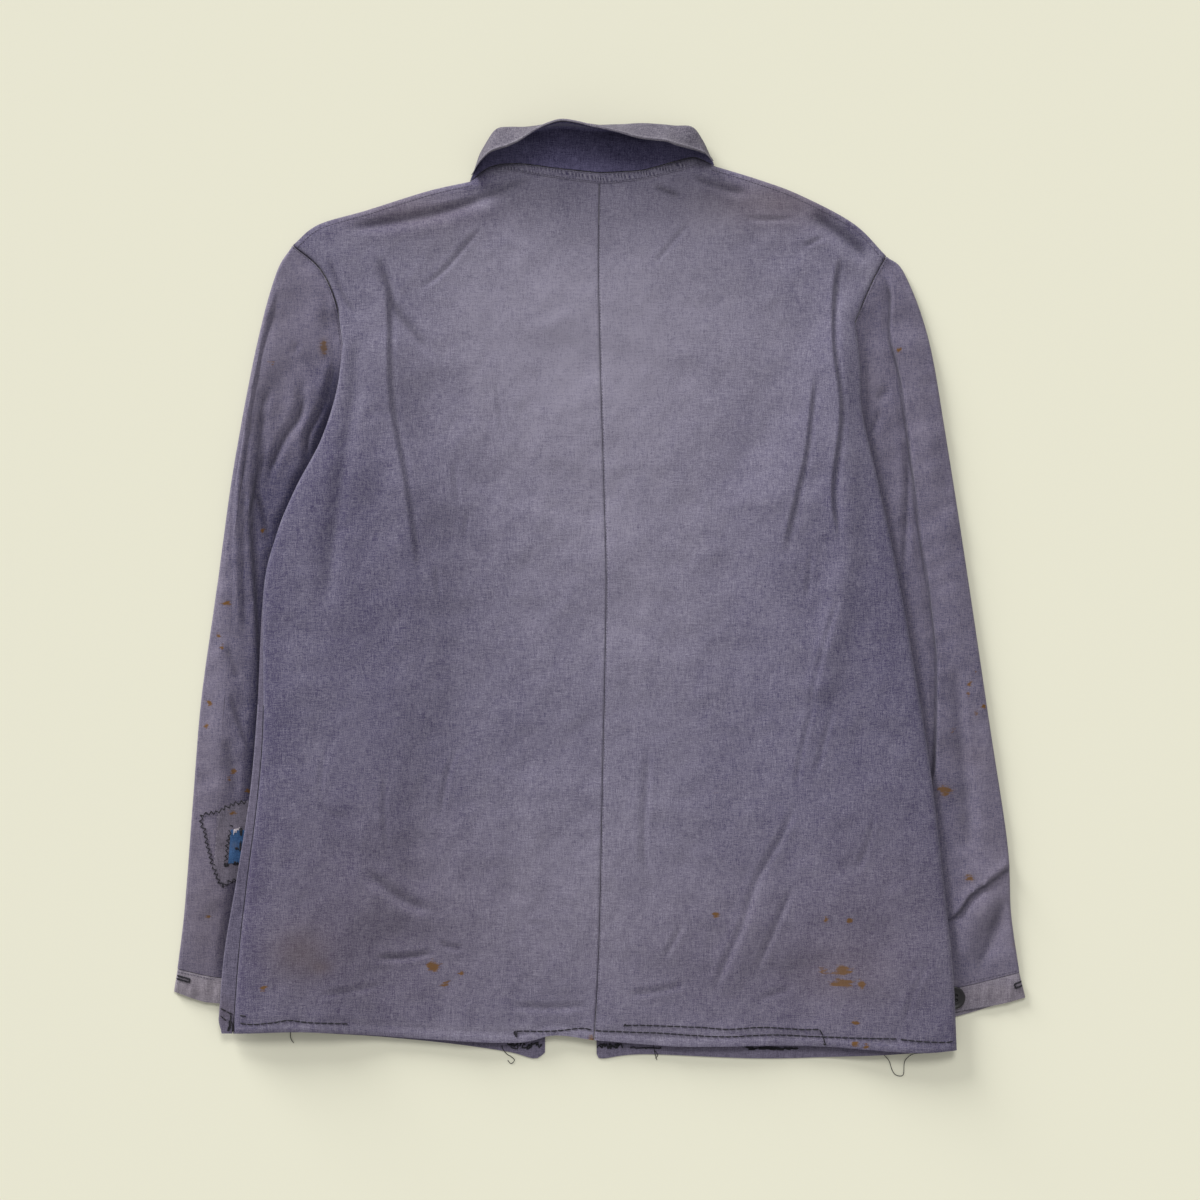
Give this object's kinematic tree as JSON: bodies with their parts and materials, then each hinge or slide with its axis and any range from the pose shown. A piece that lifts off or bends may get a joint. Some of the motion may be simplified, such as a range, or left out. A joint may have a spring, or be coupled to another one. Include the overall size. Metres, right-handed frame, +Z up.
{
  "type": "patched work jacket",
  "caption": "Faded violet cotton work jacket laid face down, sleeves tucked under the body, collar rolled up, mended with sewn patches, dark darning and stained with use.",
  "frame": {"origin": "centre of the outline in plan, on the surface that the jacket lies on", "axes": "+Z up from the surface, out of the back of the jacket; +Y from hem to collar; +X to the jacket's right sleeve, at the viewer's right"},
  "size_m": [0.709, 0.778, 0.0341],
  "materials": {
    "faded_cotton": "worn plain-weave cotton, matt",
    "violet_cotton": "worn plain-weave cotton, matt",
    "sleeve_cotton": "worn plain-weave cotton, matt",
    "unfaded_cotton": "worn plain-weave cotton, matt",
    "leaf_cotton": "worn plain-weave cotton, matt",
    "blue_cotton": "worn plain-weave cotton, matt",
    "dark_button": "dark moulded button, low sheen"
  },
  "bodies": {
    "root": {"front_left": "violet_cotton", "front_right": "violet_cotton", "back_left": "faded_cotton", "back_right": "faded_cotton", "sleeve_left_top": "sleeve_cotton", "sleeve_left_under": "sleeve_cotton", "sleeve_right_top": "sleeve_cotton", "sleeve_right_under": "sleeve_cotton", "cuff_left": "sleeve_cotton", "cuff_right": "sleeve_cotton", "sleeve_patch": "violet_cotton", "sleeve_patch_blue": "blue_cotton", "neck_tape": "faded_cotton", "collar_upper": "leaf_cotton", "collar_under": "unfaded_cotton", "collar_front_left": "leaf_cotton", "collar_front_right": "leaf_cotton", "cuff_button_left": "dark_button", "cuff_button_right": "dark_button"}
  },
  "joints": []
}
